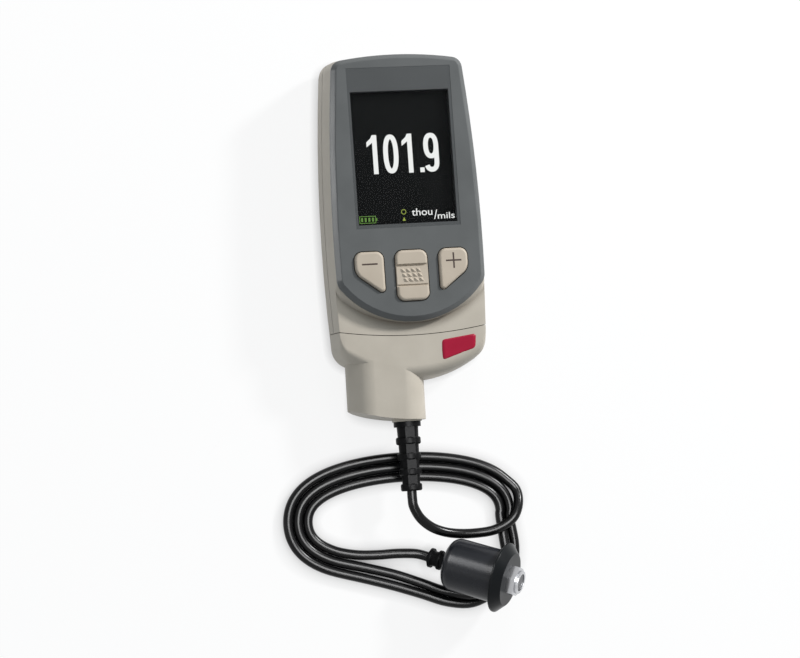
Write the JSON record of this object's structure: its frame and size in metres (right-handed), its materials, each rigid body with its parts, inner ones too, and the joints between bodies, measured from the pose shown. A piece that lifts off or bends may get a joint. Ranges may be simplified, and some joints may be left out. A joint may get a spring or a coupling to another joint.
{
  "type": "coating thickness gauge",
  "caption": "Handheld coating thickness gauge with a colour display, keys, a plug-in probe module and a flanged probe on a coiled black cord.",
  "frame": {"origin": "Middle of the gauge on the surface under its back, taken without the boot, the cord and the probe.", "axes": "+Z points out of the display, away from the surface it lies on; +Y to the top of the display; +X to its right."},
  "size_m": [0.0939, 0.2163, 0.0306],
  "materials": {
    "housing_beige": "fine moulded texture",
    "key_beige": "satin",
    "bezel_grey": "fine moulded texture",
    "window_clear": "polished",
    "display_black": "dark display",
    "frame_white": "satin",
    "board_green": "solder mask",
    "dark_plastic": "satin",
    "plain_steel": "plated",
    "cell_wrap": "printed wrap, bare of words",
    "rubber_black": "smooth",
    "probe_black": "satin",
    "bright_metal": "turned and plated",
    "face_grey": "ground"
  },
  "bodies": {
    "gauge": {"rear_housing": "housing_beige", "front_housing": "housing_beige", "front_bezel": "bezel_grey", "display_window": "window_clear", "lcd_module": "display_black", "lcd_frame": "frame_white", "main_board": "board_green", "key_switches": "dark_plastic", "sounder": "dark_plastic", "connector_socket": "dark_plastic", "housing_screws": "plain_steel", "battery_cell_1": "cell_wrap", "battery_cell_2": "cell_wrap", "battery_cell_3": "cell_wrap", "contact_plates": "plain_steel", "contact_springs": "plain_steel"},
    "cover": {"battery_cover": "housing_beige"},
    "key_minus": {"button_minus": "key_beige"},
    "key_centre": {"button_centre": "key_beige"},
    "key_plus": {"button_plus": "key_beige"},
    "probe_module": {"module_housing": "housing_beige", "module_end_plate": "housing_beige", "connector_plug": "dark_plastic", "module_board": "board_green", "cable_boot": "rubber_black", "cord": "rubber_black", "probe_boot": "rubber_black", "probe_body": "probe_black", "probe_collar": "probe_black", "probe_nut": "bright_metal", "transducer_case": "bright_metal", "wear_face": "face_grey", "transducer_crystal": "face_grey"}
  },
  "joints": [
    {"name": "minus_press", "type": "slide", "parent": "gauge", "child": "key_minus", "axis": [0, 0, -1], "range_m": [0, 0.0008], "stiffness_N_per_m": 400},
    {"name": "centre_press", "type": "slide", "parent": "gauge", "child": "key_centre", "axis": [0, 0, -1], "range_m": [0, 0.0008], "stiffness_N_per_m": 400},
    {"name": "plus_press", "type": "slide", "parent": "gauge", "child": "key_plus", "axis": [0, 0, -1], "range_m": [0, 0.0008], "stiffness_N_per_m": 400},
    {"name": "cover_lift", "type": "slide", "parent": "gauge", "child": "cover", "axis": [0, 0, -1], "range_m": [0, 0.01]},
    {"name": "module_pull", "type": "slide", "parent": "gauge", "child": "probe_module", "axis": [0, -1, 0], "range_m": [0, 0.025]}
  ]
}
